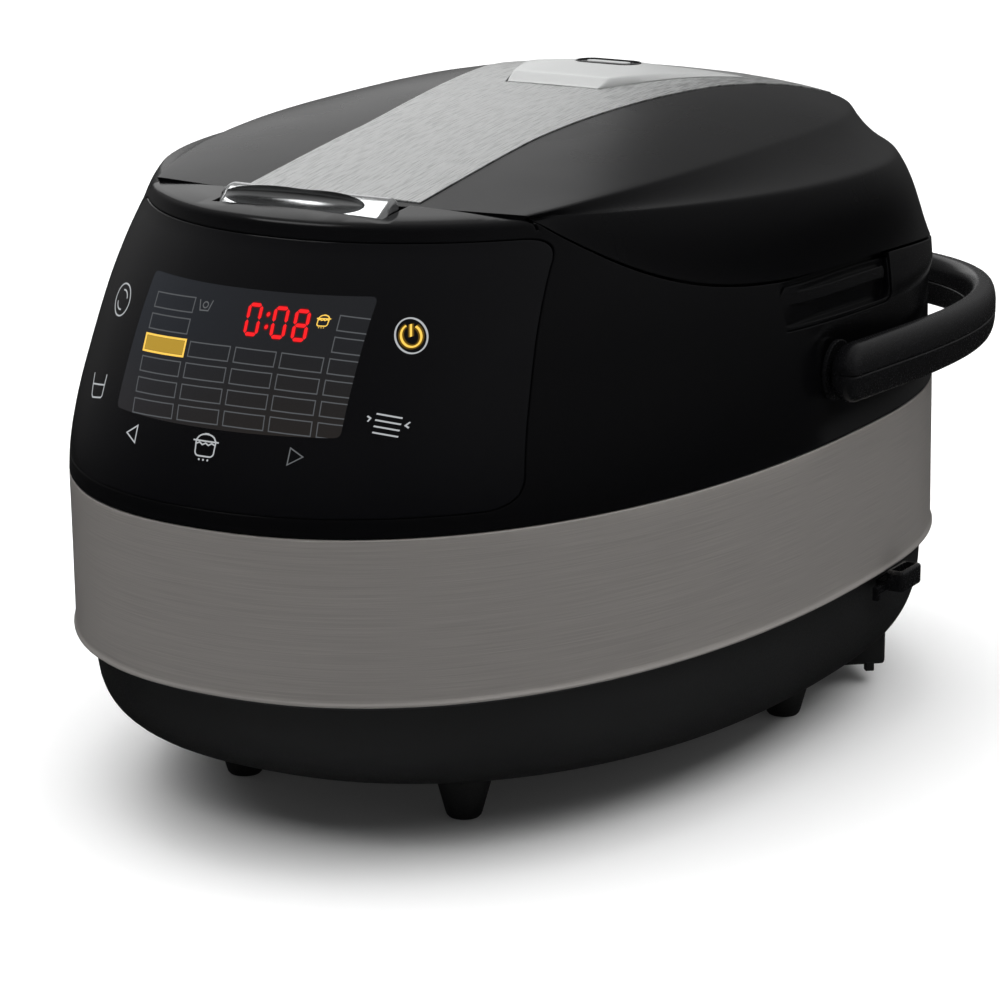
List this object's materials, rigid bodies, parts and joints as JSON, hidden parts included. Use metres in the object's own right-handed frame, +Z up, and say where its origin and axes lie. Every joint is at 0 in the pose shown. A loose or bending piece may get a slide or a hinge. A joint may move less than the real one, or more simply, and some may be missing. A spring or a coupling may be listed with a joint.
{
  "type": "multicooker",
  "caption": "Rounded multicooker with a hinged domed lid, push-button catch, steel band, lift-out bowl, spoon holder, lift-off steam cap and a carrying handle that swings up from behind.",
  "frame": {"origin": "on the floor, under the middle of the whole footprint with the carrying handle lying back", "axes": "+Z up; the control panel faces -Y; +X is the right side seen from the front, where the spoon holder is"},
  "size_m": [0.2862, 0.4518, 0.2416],
  "materials": {
    "black_gloss": "polished black moulding",
    "black_satin": "satin black moulding",
    "grey_base": "fine matt grey moulding",
    "inner_plastic": "plain inner moulding",
    "brushed_band": "brushed along its length",
    "brushed_strip": "bright, brushed from front to rear",
    "chromed": "polished chrome",
    "plain_sheet": "pressed sheet",
    "cast_heater": "cast and machined",
    "bowl_coating": "dark non-stick coating",
    "foot_rubber": "matt rubber",
    "silicone": "pale silicone",
    "board": "circuit board",
    "display": "smoked display",
    "spring_steel": "drawn wire"
  },
  "bodies": {
    "body": {"base_tub": "grey_base", "foot_front_left": "foot_rubber", "foot_front_right": "foot_rubber", "foot_rear_left": "foot_rubber", "foot_rear_right": "foot_rubber", "band_frame": "inner_plastic", "steel_band": "brushed_band", "upper_shell": "black_gloss", "control_panel": "black_gloss", "side_recess_right": "black_satin", "side_recess_left": "black_satin", "panel_carrier": "inner_plastic", "display_module": "display", "control_board": "board", "power_board": "board", "well": "plain_sheet", "heating_plate": "cast_heater", "side_heater": "cast_heater", "sensor_bracket": "plain_sheet", "bowl": "bowl_coating", "thermostat_spring": "spring_steel", "thermal_fuse": "plain_sheet", "inlet_housing": "black_satin", "inlet_pins": "plain_sheet", "spoon_holder": "black_satin", "hinge_bay": "inner_plastic", "hinge_bracket": "plain_sheet", "hinge_pin": "spring_steel", "hinge_spring": "spring_steel", "button_pin": "spring_steel"},
    "lid": {"lid_cover": "black_gloss", "lid_strip": "brushed_strip", "lid_liner": "inner_plastic", "lid_plate": "plain_sheet", "lid_gasket": "silicone", "latch_strike": "plain_sheet", "lid_hinge_arm": "plain_sheet", "steam_valve_body": "inner_plastic", "steam_valve_seal": "silicone"},
    "steam_cap_set": {"steam_cap": "brushed_strip", "steam_vent": "black_gloss"},
    "button": {"release_button": "chromed"},
    "handle": {"handle_pivot_right": "black_satin", "handle_pivot_left": "black_satin", "handle_upper": "black_satin", "handle_lower": "black_satin"},
    "sensor": {"thermostat": "plain_sheet"}
  },
  "joints": [
    {"name": "lid_hinge", "type": "hinge", "parent": "body", "child": "lid", "pos_m": [0, 0.1546, 0.1745], "axis": [-1, 0, 0], "range_deg": [0, 85]},
    {"name": "steam_cap_lift", "type": "slide", "parent": "lid", "child": "steam_cap_set", "axis": [0, 0, 1], "range_m": [0, 0.03]},
    {"name": "button_press", "type": "hinge", "parent": "body", "child": "button", "pos_m": [0, -0.1605, 0.214], "axis": [-1, 0, 0], "range_deg": [0, 8], "stiffness_Nm_per_rad": 0.3, "springref_deg": -8.59},
    {"name": "handle_swing", "type": "hinge", "parent": "body", "child": "handle", "pos_m": [0, -0.0094, 0.1475], "axis": [1, 0, 0], "range_deg": [0, 95]},
    {"name": "sensor_travel", "type": "slide", "parent": "body", "child": "sensor", "axis": [0, 0, -1], "range_m": [0, 0.002], "stiffness_N_per_m": 1000, "springref_m": -0.002, "deforming": ["thermostat_spring"]}
  ]
}
